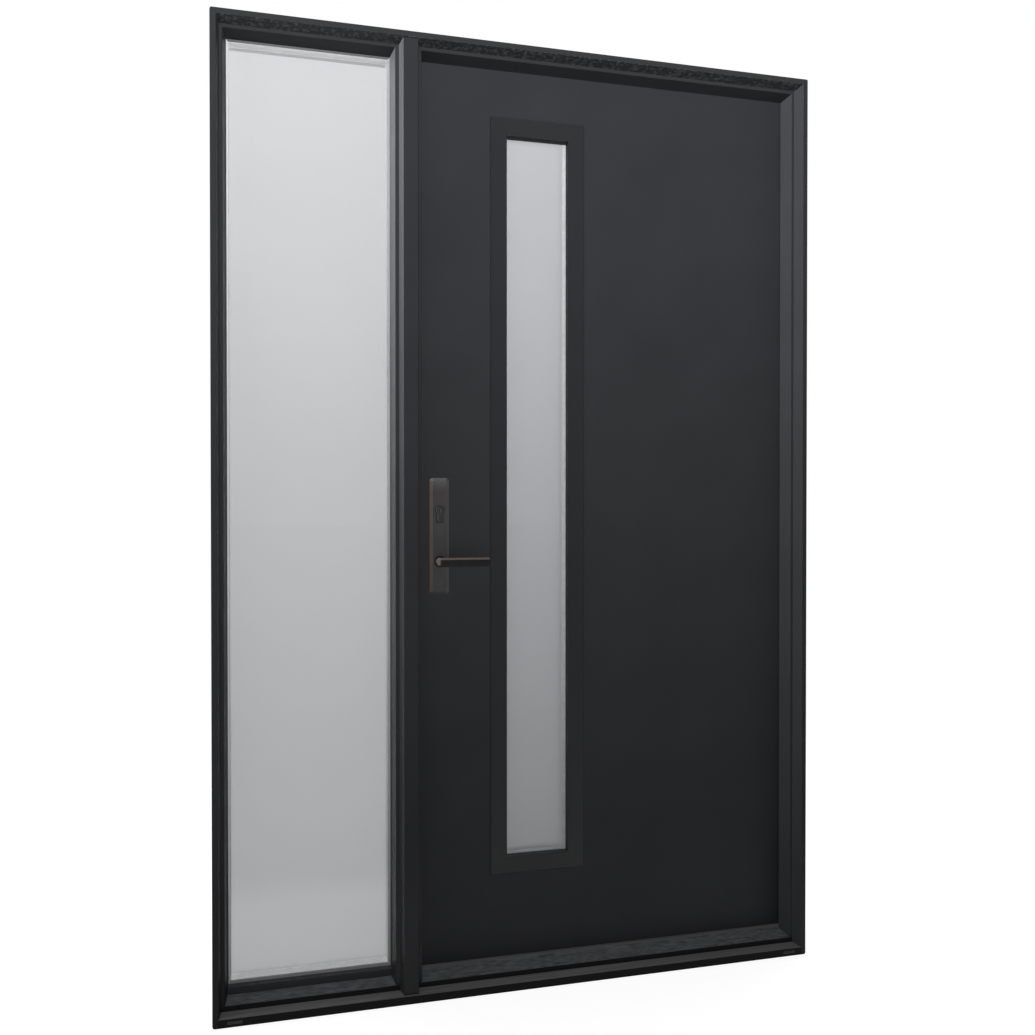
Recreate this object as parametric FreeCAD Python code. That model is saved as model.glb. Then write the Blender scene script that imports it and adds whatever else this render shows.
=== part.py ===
import FreeCAD, Part
import math
import os

# Entrance door unit: one fixed glazed sidelight on the left, one inswing door on the right.
# Millimetres. X to the right seen from outside, Y from outside to inside, Z up.
# The origin is at the middle of the underside of the sill.

# Overall size of the unit
unit_width = 1368.0
unit_height = 2096.0
frame_depth = 128.0
corner_radius = 6.0

# Frame section, from the outer edge inwards and from the front face backwards
face_width = 12.5
face_edge_radius = 2.5
face_lip_radius = 1.5
outer_step_depth = 33.0
outer_step_draft = 5.0
nose_depth = 1.0
nose_width = 6.8
stop_draft = 6.0
rabbet_wall = 15.0

# Mullion between the sidelight and the door
mullion_from_left = 414.0
mullion_face_width = 32.0
mullion_recess = 6.0
mullion_light_nose_width = 9.0
mullion_web_light_side = 20.5
mullion_web_door_side = 16.0

# Sill
sill_front_height = 18.0
ledge_depth = 33.0
tread_front_height = 29.5
tread_back_height = 38.5
tread_setback = 3.0
tread_thickness = 5.0
tread_rib_count = 9
tread_rib_depth = 0.9
tread_rib_margin = 1.5
cap_thickness = 8.5
weep_length = 30.0
weep_height = 6.0
weep_depth = 2.0
weep_from_end = 30.0
weep_from_floor = 6.0

# Door slab and the gaps around it
slab_thickness = 45.0
hinge_gap = 5.0
lock_gap = 6.6
head_gap = 5.0
threshold_gap = 5.5
skin_thickness = 1.5
lock_stile_width = 100.0
hinge_stile_width = 40.0
rail_height = 40.0
sweep_width = 22.0
sweep_height = 6.5
sweep_drop = 0.5

# Weather seals on the backs of the stops
seal_thickness = 2.0
seal_width = 8.0
seal_inset = 1.5
seal_gap = 5.0

# Sidelight glazing
pane_thickness = 4.0
light_spacer_depth = 20.0
light_edge_gap = 2.0
spacer_inset = 3.0
spacer_sight = 1.5
gasket_width = 4.5
gasket_depth = 4.0
gasket_lip = 1.0
light_rail_lip = 8.0
light_rail_base_top = 45.0
light_rail_front_height = 51.8
light_rail_top = 57.0
bead_chamfer = 6.0

# Slim lite in the door
lite_width = 224.0
lite_from_lock_edge = 171.4
lite_from_slab_bottom = 189.5
lite_from_slab_top = 113.5
lite_face_width = 39.0
lite_proud = 3.0
lite_edge_chamfer = 1.5
lite_face_drop = 0.8
lite_lip_radius = 2.0
lite_reveal_draft = 1.0
lite_flange = 13.0
lite_neck_gap = 1.0
lite_glass_depth = 11.5
lite_spacer_depth = 14.0
lite_edge_gap = 4.0
lite_spacer_width = 14.0

# Lever handle set
handle_backset = 53.1
lever_height = 952.5
cylinder_rise = 115.0
plate_width = 44.0
plate_height = 262.0
plate_thickness = 8.0
plate_base_thickness = 1.0
plate_bevel = 6.4
plate_corner_radius = 7.0
plate_face_radius = 3.0
plate_below_lever = 74.0
neck_radius = 9.0
neck_clearance = 0.3
neck_seat = 5.0
neck_length = 34.0
grip_height = 20.0
grip_thickness = 12.0
grip_bevel = 4.0
grip_behind_axis = 12.0
grip_reach = 108.0
grip_elbow_radius = 10.0
grip_end_radius = 5.0
spindle_width = 8.0
spindle_bore_radius = 7.0
spindle_socket = 12.0
cylinder_radius = 8.5
cylinder_web_width = 10.0
cylinder_height = 33.0
cylinder_proud = 5.0
cylinder_clearance = 0.2
plug_radius = 6.5
plug_recess = 0.6
key_slot_width = 2.2
key_slot_height = 8.0
key_slot_depth = 6.0
face_plate_width = 22.0
face_plate_height = 240.0
face_plate_thickness = 2.5
face_plate_end_radius = 10.9
strike_height = 220.0

# Butt hinges on the inner edge of the right jamb
hinge_from_end = 236.0
hinge_height = 100.0
hinge_leaf_width = 32.0
hinge_leaf_thickness = 2.5
knuckle_radius = 5.5
knuckle_count = 3
knuckle_gap = 0.4
pin_radius = 3.0
pin_clearance = 0.05
pin_offset = 6.5

# Largest length taken as no length
tolerance = 1e-6

# Positions that follow from the sizes above
x_left = -unit_width / 2
x_right = unit_width / 2
front = -frame_depth / 2
nose_start = outer_step_depth
nose_end = nose_start + nose_depth
slab_front = frame_depth - slab_thickness
stop_back = slab_front - seal_thickness - seal_gap
step_edge = face_width + outer_step_draft
nose_edge = step_edge + nose_width
stop_edge = nose_edge + stop_draft

mullion_x = x_left + mullion_from_left
mullion_door_face = mullion_x + mullion_web_door_side
mullion_light_face = mullion_x - mullion_web_light_side
mullion_light_stop = (mullion_x - mullion_face_width / 2 - outer_step_draft
                      - mullion_light_nose_width - stop_draft)
mullion_door_stop = mullion_x + mullion_face_width / 2 + stop_edge - face_width

tread_end = slab_front - tread_setback
tread_depth = tread_end - ledge_depth
sill_end = face_width / 2
threshold_top = tread_back_height
slab_left = mullion_door_face + lock_gap
slab_right = x_right - rabbet_wall - hinge_gap
slab_bottom = threshold_top + threshold_gap
slab_top = unit_height - rabbet_wall - head_gap

handle_x = slab_left + handle_backset
cylinder_z = lever_height + cylinder_rise
hinge_x = (slab_right + x_right - rabbet_wall) / 2
hinge_depth = frame_depth + pin_offset
hinge_heights = (slab_bottom + hinge_from_end, (slab_bottom + slab_top) / 2, slab_top - hinge_from_end)


def at(x, depth, z):
    """Point at a depth behind the front face of the frame."""
    return FreeCAD.Vector(x, front + depth, z)


def outline(points, place, radii=None):
    """Closed wire through flat points, with an arc at each corner that has a radius."""
    radii = radii or {}
    starts = []
    ends = []
    middles = []
    count = len(points)
    for i, point in enumerate(points):
        corner = FreeCAD.Vector(point[0], point[1], 0)
        radius = radii.get(i, 0.0)
        if radius <= 0:
            starts.append(corner)
            ends.append(corner)
            middles.append(None)
            continue
        before = points[i - 1]
        after = points[(i + 1) % count]
        toward_before = (FreeCAD.Vector(before[0], before[1], 0) - corner).normalize()
        toward_after = (FreeCAD.Vector(after[0], after[1], 0) - corner).normalize()
        half_angle = toward_before.getAngle(toward_after) / 2
        bisector = (toward_before + toward_after).normalize()
        reach = radius / math.tan(half_angle)
        starts.append(corner + toward_before * reach)
        ends.append(corner + toward_after * reach)
        middles.append(corner + bisector * (radius / math.sin(half_angle) - radius))
    edges = []
    for i in range(count):
        if middles[i] is not None:
            arc = Part.Arc(place(starts[i].x, starts[i].y), place(middles[i].x, middles[i].y),
                           place(ends[i].x, ends[i].y))
            edges.append(arc.toShape())
        following = starts[(i + 1) % count]
        if (following - ends[i]).Length > tolerance:
            line = Part.LineSegment(place(ends[i].x, ends[i].y), place(following.x, following.y))
            edges.append(line.toShape())
    return Part.Wire(edges)


def prism(points, place, along, radii=None):
    """Solid made by moving a flat outline along a vector."""
    return Part.Face(outline(points, place, radii)).extrude(along)


def block(x0, x1, depth0, depth1, z0, z1):
    """Plain box between two corners, with depths from the front face of the frame."""
    return Part.makeBox(x1 - x0, depth1 - depth0, z1 - z0, at(x0, depth0, z0))


def upright(points, z0, z1, radii=None):
    """Bar with an X and depth section, standing from z0 to z1."""
    return prism(points, lambda x, depth: at(x, depth, z0), FreeCAD.Vector(0, 0, z1 - z0), radii)


def crossbar(points, x0, x1, radii=None):
    """Bar with a depth and Z section, lying from x0 to x1."""
    return prism(points, lambda depth, z: at(x0, depth, z), FreeCAD.Vector(x1 - x0, 0, 0), radii)


def round_bar(x, z, radius, depth0, depth1):
    """Cylinder along the depth."""
    return Part.makeCylinder(radius, depth1 - depth0, at(x, depth0, z), FreeCAD.Vector(0, 1, 0))


def ring(section, x0, x1, z0, z1):
    """Mitred rectangular ring. The section is inward distance and depth, from the outer edge."""
    corners = ((x0, z0, 1, 1), (x1, z0, -1, 1), (x1, z1, -1, -1), (x0, z1, 1, -1))
    faces = []
    for i, corner in enumerate(corners):
        following = corners[(i + 1) % len(corners)]
        for j, point in enumerate(section):
            ahead = section[(j + 1) % len(section)]
            loop = []
            for place, spot in ((corner, point), (following, point), (following, ahead), (corner, ahead)):
                loop.append(at(place[0] + place[2] * spot[0], spot[1], place[1] + place[3] * spot[0]))
            faces.append(Part.Face(Part.makePolygon(loop + [loop[0]])))
    solid = Part.makeSolid(Part.makeShell(faces))
    if solid.Volume < 0:
        solid.reverse()
    return solid


def framed_rectangle(width, height, radius, depth, x, z):
    """Rounded rectangle wire, facing forwards, about a centre."""
    points = ((-width / 2, -height / 2), (width / 2, -height / 2),
              (width / 2, height / 2), (-width / 2, height / 2))
    radii = {i: radius for i in range(len(points))}
    return outline(points, lambda u, v: at(x + u, depth, z + v), radii)


# Frame members

def frame_section():
    """Outline shared by the jambs and the header: inward distance and depth."""
    points = [(0, 0), (face_width, 0), (step_edge, nose_start), (nose_edge, nose_end),
              (stop_edge, stop_back), (rabbet_wall, stop_back), (rabbet_wall, frame_depth),
              (0, frame_depth)]
    return points, {0: face_edge_radius, 1: face_lip_radius, 2: face_lip_radius, 3: face_lip_radius}


def mitre(points):
    """Tall block with an X and Z outline, used to mitre a bar."""
    return prism(points, lambda x, z: at(x, 0, z), FreeCAD.Vector(0, frame_depth, 0))


def rounded_unit():
    """The whole unit's front outline with its four corners rounded, as deep as the frame."""
    wire = framed_rectangle(unit_width, unit_height, corner_radius, 0, 0, unit_height / 2)
    return Part.Face(wire).extrude(FreeCAD.Vector(0, frame_depth, 0))


def make_jamb(side):
    """Upright member at the left or the right; side is -1 or 1."""
    section, radii = frame_section()
    outer = side * unit_width / 2
    bar = upright([(outer - side * a, depth) for a, depth in section], 0, unit_height, radii)
    keep = mitre([(outer, 0), (outer, unit_height),
                  (outer - side * stop_edge, unit_height - stop_edge), (outer - side * stop_edge, 0)])
    return bar.common(keep).common(rounded_unit())


def make_header():
    section, radii = frame_section()
    bar = crossbar([(depth, unit_height - a) for a, depth in section], x_left, x_right, radii)
    keep = mitre([(x_left, unit_height), (x_right, unit_height),
                  (x_right - stop_edge, unit_height - stop_edge),
                  (x_left + stop_edge, unit_height - stop_edge)])
    return bar.common(keep).common(rounded_unit())


def make_mullion(header, sill_pieces):
    """Post with a stop on each side, scribed to the header and the sill."""
    half = mullion_face_width / 2
    light_step = mullion_x - half - outer_step_draft
    door_step = mullion_x + half + outer_step_draft
    points = [(mullion_x - half, mullion_recess), (mullion_x + half, mullion_recess),
              (door_step, nose_start), (door_step + nose_width, nose_end),
              (mullion_door_stop, stop_back), (mullion_door_face, stop_back),
              (mullion_door_face, frame_depth), (mullion_light_face, frame_depth),
              (mullion_light_face, stop_back), (mullion_light_stop, stop_back),
              (light_step - mullion_light_nose_width, nose_end), (light_step, nose_start)]
    rounded = (0, 1, 2, 3, 10, 11)
    post = upright(points, 0, unit_height, {i: face_lip_radius for i in rounded})
    return post.cut(header).cut(Part.makeCompound(sill_pieces))


# Sill

def tread_height(depth):
    """Height of the sloping tread at a depth."""
    return tread_front_height + (tread_back_height - tread_front_height) * (depth - ledge_depth) / tread_depth


def make_sill_base(jambs):
    tread_under = tread_back_height - tread_thickness
    points = [(0, 0), (0, sill_front_height), (ledge_depth + tread_thickness, sill_front_height),
              (ledge_depth + tread_thickness, tread_height(ledge_depth + tread_thickness) - tread_thickness),
              (tread_end, tread_under), (tread_end, threshold_top - cap_thickness),
              (frame_depth, threshold_top - cap_thickness), (frame_depth, 0)]
    base = crossbar(points, x_left + sill_end, x_right - sill_end, {1: face_lip_radius})
    for weep in make_weep_covers():
        base = base.cut(weep)
    return base.cut(Part.makeCompound(jambs))


def make_weep_covers():
    """Flush covers of the drain slots near the ends of the sill's front."""
    covers = []
    for start in (x_left + weep_from_end, x_right - weep_from_end - weep_length):
        covers.append(block(start, start + weep_length, 0, weep_depth,
                            weep_from_floor, weep_from_floor + weep_height))
    return covers


def make_sill_tread(jambs):
    """Sloping tread with a turned-down front edge and fine grooves along it."""
    pitch = (tread_depth - 2 * tread_rib_margin) / tread_rib_count
    inner = ledge_depth + tread_thickness
    points = [(inner, sill_front_height), (ledge_depth, sill_front_height), (ledge_depth, tread_front_height)]
    for i in range(tread_rib_count):
        start = ledge_depth + tread_rib_margin + i * pitch
        points.append((start, tread_height(start)))
        points.append((start + pitch / 4, tread_height(start) - tread_rib_depth))
        points.append((start + pitch / 2, tread_height(start + pitch / 2)))
    points.append((tread_end, tread_back_height))
    points.append((tread_end, tread_back_height - tread_thickness))
    points.append((inner, tread_height(inner) - tread_thickness))
    return crossbar(points, x_left + sill_end, x_right - sill_end).cut(Part.makeCompound(jambs))


def make_sill_cap():
    """Threshold cap under the closed door."""
    points = [(tread_end, threshold_top - cap_thickness), (tread_end, threshold_top),
              (frame_depth, threshold_top), (frame_depth, threshold_top - cap_thickness)]
    return crossbar(points, mullion_door_face, x_right - rabbet_wall, {2: face_lip_radius})


# Sidelight

def make_light_rail(left_jamb, mullion):
    """Bottom rail: a sloped upstand in front of the glass and a flat seat under it."""
    rail_front = stop_back - light_rail_lip
    points = [(rail_front, tread_height(rail_front)), (rail_front, light_rail_front_height),
              (stop_back, light_rail_top), (stop_back, light_rail_base_top),
              (frame_depth, light_rail_base_top), (frame_depth, threshold_top - cap_thickness),
              (tread_end, threshold_top - cap_thickness), (tread_end, tread_back_height)]
    return crossbar(points, x_left, mullion_x).cut(left_jamb).cut(mullion)


light_left = x_left + rabbet_wall
light_right = mullion_light_face
light_sight = (x_left + stop_edge, mullion_light_stop, light_rail_top, unit_height - stop_edge)
light_pane = (light_left + light_edge_gap, light_right - light_edge_gap,
              light_rail_base_top, unit_height - rabbet_wall - light_edge_gap)
light_inner_face = stop_back + 2 * pane_thickness + light_spacer_depth


def make_light_pane(depth):
    return block(light_pane[0], light_pane[1], depth, depth + pane_thickness, light_pane[2], light_pane[3])


def box_ring(outer, inner, depth0, depth1):
    """Flat ring between two rectangles, each given as left, right, bottom and top."""
    ring_body = block(outer[0], outer[1], depth0, depth1, outer[2], outer[3])
    return ring_body.cut(block(inner[0], inner[1], depth0, depth1, inner[2], inner[3]))


def make_light_spacer():
    outer = (light_pane[0] + spacer_inset, light_pane[1] - spacer_inset,
             light_pane[2] + spacer_inset, light_pane[3] - spacer_inset)
    sight = gasket_width + spacer_sight
    inner = (light_sight[0] + sight, light_sight[1] - sight, light_sight[2] + sight, light_sight[3] - sight)
    start = stop_back + pane_thickness
    return box_ring(outer, inner, start, start + light_spacer_depth)


def make_light_gasket():
    """Soft strip that closes the joint between the stops and the outer pane."""
    section = [(0, stop_back), (0, stop_back - gasket_lip), (gasket_lip, stop_back - gasket_depth),
               (gasket_width, stop_back)]
    return ring(section, *light_sight)


def make_light_beads():
    """Inner glazing beads: the side ones run between the top and bottom ones."""
    top = unit_height - rabbet_wall
    sight_left, sight_right, sight_bottom, sight_top = light_sight
    depths = (light_inner_face, frame_depth)
    bottom = crossbar([(depths[0], light_rail_base_top), (depths[0], sight_bottom),
                       (depths[1] - bead_chamfer, sight_bottom),
                       (depths[1], sight_bottom - bead_chamfer), (depths[1], light_rail_base_top)],
                      light_left, light_right)
    upper = crossbar([(depths[0], top), (depths[0], sight_top), (depths[1] - bead_chamfer, sight_top),
                      (depths[1], sight_top + bead_chamfer), (depths[1], top)],
                     light_left, light_right)
    left = upright([(light_left, depths[0]), (sight_left, depths[0]),
                    (sight_left, depths[1] - bead_chamfer), (sight_left - bead_chamfer, depths[1]),
                    (light_left, depths[1])], sight_bottom, sight_top)
    right = upright([(light_right, depths[0]), (sight_right, depths[0]),
                     (sight_right, depths[1] - bead_chamfer), (sight_right + bead_chamfer, depths[1]),
                     (light_right, depths[1])], sight_bottom, sight_top)
    return {"bottom": bottom, "top": upper, "left": left, "right": right}


# Weather seals

def make_seals():
    """Strips on the backs of the stops, a clear gap in front of the closed door."""
    depths = (stop_back, stop_back + seal_thickness)
    head_low = unit_height - stop_edge + seal_inset
    head = block(mullion_door_stop - seal_inset - seal_width, x_right - stop_edge + seal_inset + seal_width,
                 depths[0], depths[1], head_low, head_low + seal_width)
    lock_right = mullion_door_stop - seal_inset
    lock = block(lock_right - seal_width, lock_right, depths[0], depths[1], threshold_top, head_low)
    hinge_left = x_right - stop_edge + seal_inset
    hinge = block(hinge_left, hinge_left + seal_width, depths[0], depths[1], threshold_top, head_low)
    return {"head_seal": head, "lock_side_seal": lock, "hinge_side_seal": hinge}


# Door slab

lite_left = slab_left + lite_from_lock_edge
lite_right = lite_left + lite_width
lite_bottom = slab_bottom + lite_from_slab_bottom
lite_top = slab_top - lite_from_slab_top
cutout = (lite_left + lite_flange, lite_right - lite_flange, lite_bottom + lite_flange, lite_top - lite_flange)


def euro_profile(grow, depth0, depth1):
    """Cylinder body: a round barrel with a narrower web below it."""
    low = cylinder_z + cylinder_radius - cylinder_height
    barrel = round_bar(handle_x, cylinder_z, cylinder_radius + grow, depth0, depth1)
    half = cylinder_web_width / 2 + grow
    web_round = round_bar(handle_x, low + cylinder_web_width / 2, half, depth0, depth1)
    web = block(handle_x - half, handle_x + half, depth0, depth1, low + cylinder_web_width / 2, cylinder_z)
    return barrel.fuse(web).fuse(web_round).removeSplitter()


def lock_bores(depth0, depth1):
    """Holes through the lock side of the door for the spindle and the cylinder."""
    spindle_bore = round_bar(handle_x, lever_height, spindle_bore_radius, depth0, depth1)
    return Part.makeCompound([spindle_bore, euro_profile(cylinder_clearance, depth0, depth1)])


def make_skin(depth):
    sheet = block(slab_left, slab_right, depth, depth + skin_thickness, slab_bottom, slab_top)
    hole = block(cutout[0], cutout[1], depth, depth + skin_thickness, cutout[2], cutout[3])
    return sheet.cut(hole).cut(lock_bores(depth, depth + skin_thickness))


core_front = slab_front + skin_thickness
core_back = frame_depth - skin_thickness
slab_middle = (slab_front + frame_depth) / 2


def make_face_plate_at(x0, x1, height):
    """Upright lock plate set flush into an edge, about the height of the lever and cylinder."""
    middle = lever_height + cylinder_rise / 2
    half = face_plate_width / 2
    points = [(slab_middle - half, middle - height / 2), (slab_middle + half, middle - height / 2),
              (slab_middle + half, middle + height / 2), (slab_middle - half, middle + height / 2)]
    radii = {i: face_plate_end_radius for i in range(len(points))}
    return crossbar(points, x0, x1, radii)


def make_lock_stile(face_plate):
    stile = block(slab_left, slab_left + lock_stile_width, core_front, core_back, slab_bottom, slab_top)
    return stile.cut(face_plate).cut(lock_bores(core_front, core_back))


def make_hinge_stile(leaves):
    stile = block(slab_right - hinge_stile_width, slab_right, core_front, core_back, slab_bottom, slab_top)
    return stile.cut(Part.makeCompound(leaves))


def make_rail(z0, z1):
    return block(slab_left + lock_stile_width, slab_right - hinge_stile_width, core_front, core_back, z0, z1)


def make_core():
    """Foam core between the stiles and rails, open where the lite passes through."""
    core = block(slab_left + lock_stile_width, slab_right - hinge_stile_width, core_front, core_back,
                 slab_bottom + rail_height, slab_top - rail_height)
    return core.cut(block(cutout[0], cutout[1], core_front, core_back, cutout[2], cutout[3]))


def make_sweep():
    """Soft strip in a groove under the bottom rail."""
    half = sweep_width / 2
    return block(slab_left + lock_stile_width, slab_right - hinge_stile_width, slab_middle - half,
                 slab_middle + half, slab_bottom - sweep_drop, slab_bottom - sweep_drop + sweep_height)


# Slim lite

lite_glass_front = slab_front + lite_glass_depth
lite_glass_back = lite_glass_front + 2 * pane_thickness + lite_spacer_depth


def lite_section(face, glass, outward):
    """Section of one lite frame half; outward is the direction from the glass to the face."""
    crest = face + outward * lite_proud
    inner = lite_face_width
    lip = crest - outward * lite_face_drop
    return [(0, face), (0, crest - outward * lite_edge_chamfer), (lite_edge_chamfer, crest),
            (inner - lite_lip_radius, lip), (inner, lip - outward * lite_lip_radius),
            (inner + lite_reveal_draft, glass), (lite_flange + lite_neck_gap, glass),
            (lite_flange + lite_neck_gap, face)]


def make_lite_frame(face, glass, outward):
    return ring(lite_section(face, glass, outward), lite_left, lite_right, lite_bottom, lite_top)


def make_lite_pane(depth):
    gap = lite_edge_gap
    return block(cutout[0] + gap, cutout[1] - gap, depth, depth + pane_thickness,
                 cutout[2] + gap, cutout[3] - gap)


def make_lite_spacer():
    sides = []
    for inset in (lite_edge_gap + spacer_inset, lite_edge_gap + spacer_inset + lite_spacer_width):
        sides.append((cutout[0] + inset, cutout[1] - inset, cutout[2] + inset, cutout[3] - inset))
    start = lite_glass_front + pane_thickness
    return box_ring(sides[0], sides[1], start, start + lite_spacer_depth)


# Handle set

def make_handle_plate(face, outward):
    """Long bevelled plate with a round seat for the lever neck and a hole for the cylinder."""
    middle = lever_height - plate_below_lever + plate_height / 2
    rise = face + outward * plate_base_thickness
    crest = face + outward * plate_thickness
    base = framed_rectangle(plate_width, plate_height, plate_corner_radius, face, handle_x, middle)
    shoulder = framed_rectangle(plate_width, plate_height, plate_corner_radius, rise, handle_x, middle)
    top = framed_rectangle(plate_width - 2 * plate_bevel, plate_height - 2 * plate_bevel,
                           plate_face_radius, crest, handle_x, middle)
    plate = Part.makeLoft([base, shoulder], True, True).fuse(Part.makeLoft([shoulder, top], True, True))
    low, high = sorted((face, crest))
    seat_floor = crest - outward * neck_seat
    seat = round_bar(handle_x, lever_height, neck_radius + neck_clearance, *sorted((crest, seat_floor)))
    spindle_hole = round_bar(handle_x, lever_height, spindle_bore_radius, low, high)
    plate = plate.cut(seat).cut(spindle_hole).cut(euro_profile(cylinder_clearance, low, high))
    return plate.removeSplitter()


def make_lever(face, outward):
    """Lever: a round neck out of the plate and a flat bar with a rounded elbow and bevelled front edges."""
    crest = face + outward * plate_thickness
    start = crest - outward * (neck_seat - neck_clearance)
    grip_near = crest + outward * neck_length
    grip_far = grip_near + outward * grip_thickness
    neck = round_bar(handle_x, lever_height, neck_radius, *sorted((start, grip_near)))
    left = handle_x - grip_behind_axis
    right = handle_x + grip_reach
    low = lever_height - grip_height / 2
    points = [(left, grip_near), (right, grip_near), (right, grip_far), (left, grip_far)]
    grip = upright(points, low, low + grip_height, {2: grip_end_radius, 3: grip_elbow_radius})
    edges = []
    for edge in grip.Edges:
        level = edge.BoundBox.ZLength < tolerance
        at_back = edge.BoundBox.YLength < tolerance and abs(edge.CenterOfMass.y - front - grip_near) < tolerance
        if level and not at_back:
            edges.append(edge)
    grip = grip.makeChamfer(grip_bevel, edges)
    socket_end = start + outward * spindle_socket
    half_spindle = spindle_width / 2
    socket = block(handle_x - half_spindle, handle_x + half_spindle, *sorted((start, socket_end)),
                   lever_height - half_spindle, lever_height + half_spindle)
    return neck.fuse(grip).removeSplitter().cut(socket)


def make_spindle():
    """Square bar that joins the two levers through the door."""
    sunk = plate_thickness - neck_seat + neck_clearance + spindle_socket
    half = spindle_width / 2
    return block(handle_x - half, handle_x + half, slab_front - sunk, frame_depth + sunk,
                 lever_height - half, lever_height + half)


def make_cylinder():
    """Lock cylinder through the door, with a recessed plug and a key slot at each end."""
    ends = (slab_front - plate_thickness - cylinder_proud, frame_depth + plate_thickness + cylinder_proud)
    body = euro_profile(0.0, ends[0], ends[1])
    for end, inward in ((ends[0], 1), (ends[1], -1)):
        plug = sorted((end, end + inward * plug_recess))
        slot = sorted((end, end + inward * key_slot_depth))
        body = body.cut(round_bar(handle_x, cylinder_z, plug_radius, *plug))
        body = body.cut(block(handle_x - key_slot_width / 2, handle_x + key_slot_width / 2, *slot,
                              cylinder_z - key_slot_height / 2, cylinder_z + key_slot_height / 2))
    return body


# Hinges

def knuckle(index, z0):
    """One barrel of a hinge, bored for the pin."""
    step = hinge_height / knuckle_count
    low = z0 + index * step + knuckle_gap / 2
    base = at(hinge_x, hinge_depth, low)
    barrel = Part.makeCylinder(knuckle_radius, step - knuckle_gap, base)
    return barrel.cut(Part.makeCylinder(pin_radius + pin_clearance, step - knuckle_gap, base))


def make_leaf(z_middle, side):
    """Hinge leaf with its own barrels; side is 1 on the jamb and -1 on the door."""
    z0 = z_middle - hinge_height / 2
    face = x_right - rabbet_wall if side > 0 else slab_right
    x0, x1 = sorted((face, face + side * hinge_leaf_thickness))
    leaf = block(x0, x1, frame_depth - hinge_leaf_width, frame_depth, z0, z0 + hinge_height)
    bore = Part.makeCylinder(pin_radius + pin_clearance, hinge_height, at(hinge_x, hinge_depth, z0))
    step = hinge_height / knuckle_count
    own = [i for i in range(knuckle_count) if (i % 2 == 0) == (side > 0)]
    for i in own:
        low = z0 + i * step + knuckle_gap / 2
        tab = block(x0, x1, frame_depth, hinge_depth, low, low + step - knuckle_gap)
        leaf = leaf.fuse(knuckle(i, z0)).fuse(tab)
    return leaf.cut(bore).removeSplitter()


def make_pin(z_middle):
    """Hinge pin through the barrels of both leaves."""
    z0 = z_middle - hinge_height / 2
    return Part.makeCylinder(pin_radius, hinge_height, at(hinge_x, hinge_depth, z0))


def build():
    """All the pieces of the unit by name."""
    pieces = {}
    left_jamb = make_jamb(-1)
    right_jamb = make_jamb(1)
    jambs = [left_jamb, right_jamb]
    header = make_header()
    pieces["header"] = header
    pieces["left_jamb"] = left_jamb
    sill_base = make_sill_base(jambs)
    sill_tread = make_sill_tread(jambs)
    sill_cap = make_sill_cap()
    pieces["sill_base"] = sill_base
    pieces["sill_tread"] = sill_tread
    pieces["sill_cap"] = sill_cap
    pieces["sill_weep_covers"] = Part.makeCompound(make_weep_covers())
    mullion = make_mullion(header, [sill_base, sill_tread])
    strike = make_face_plate_at(mullion_door_face - face_plate_thickness, mullion_door_face, strike_height)
    pieces["mullion"] = mullion.cut(strike)
    pieces["strike_plate"] = strike
    pieces.update(make_seals())

    pieces["sidelight_rail"] = make_light_rail(left_jamb, mullion)
    pieces["sidelight_outer_pane"] = make_light_pane(stop_back)
    pieces["sidelight_inner_pane"] = make_light_pane(light_inner_face - pane_thickness)
    pieces["sidelight_spacer"] = make_light_spacer()
    pieces["sidelight_gasket"] = make_light_gasket()
    for name, bead in make_light_beads().items():
        pieces["sidelight_bead_" + name] = bead

    jamb_leaves = [make_leaf(z, 1) for z in hinge_heights]
    door_leaves = [make_leaf(z, -1) for z in hinge_heights]
    pieces["right_jamb"] = right_jamb.cut(Part.makeCompound(jamb_leaves))
    pieces["hinge_jamb_leaves"] = Part.makeCompound(jamb_leaves)
    pieces["hinge_door_leaves"] = Part.makeCompound(door_leaves)
    pieces["hinge_pins"] = Part.makeCompound([make_pin(z) for z in hinge_heights])

    face_plate = make_face_plate_at(slab_left, slab_left + face_plate_thickness, face_plate_height)
    pieces["lock_face_plate"] = face_plate
    pieces["door_outer_skin"] = make_skin(slab_front)
    pieces["door_inner_skin"] = make_skin(core_back).cut(Part.makeCompound(door_leaves))
    pieces["door_lock_stile"] = make_lock_stile(face_plate)
    pieces["door_hinge_stile"] = make_hinge_stile(door_leaves)
    pieces["door_top_rail"] = make_rail(slab_top - rail_height, slab_top)
    sweep = make_sweep()
    pieces["door_bottom_rail"] = make_rail(slab_bottom, slab_bottom + rail_height).cut(sweep)
    pieces["door_sweep"] = sweep
    pieces["door_core"] = make_core()

    pieces["lite_outer_frame"] = make_lite_frame(slab_front, lite_glass_front, -1)
    pieces["lite_inner_frame"] = make_lite_frame(frame_depth, lite_glass_back, 1)
    pieces["lite_outer_pane"] = make_lite_pane(lite_glass_front)
    pieces["lite_inner_pane"] = make_lite_pane(lite_glass_back - pane_thickness)
    pieces["lite_spacer"] = make_lite_spacer()

    pieces["outer_handle_plate"] = make_handle_plate(slab_front, -1)
    pieces["inner_handle_plate"] = make_handle_plate(frame_depth, 1)
    pieces["lock_cylinder"] = make_cylinder()
    pieces["outer_lever"] = make_lever(slab_front, -1)
    pieces["inner_lever"] = make_lever(frame_depth, 1)
    pieces["lever_spindle"] = make_spindle()
    return pieces


os.makedirs("parts", exist_ok=True)
for node, shape in build().items():
    shape.exportStep("parts/" + node + ".step")
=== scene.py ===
import math

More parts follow.
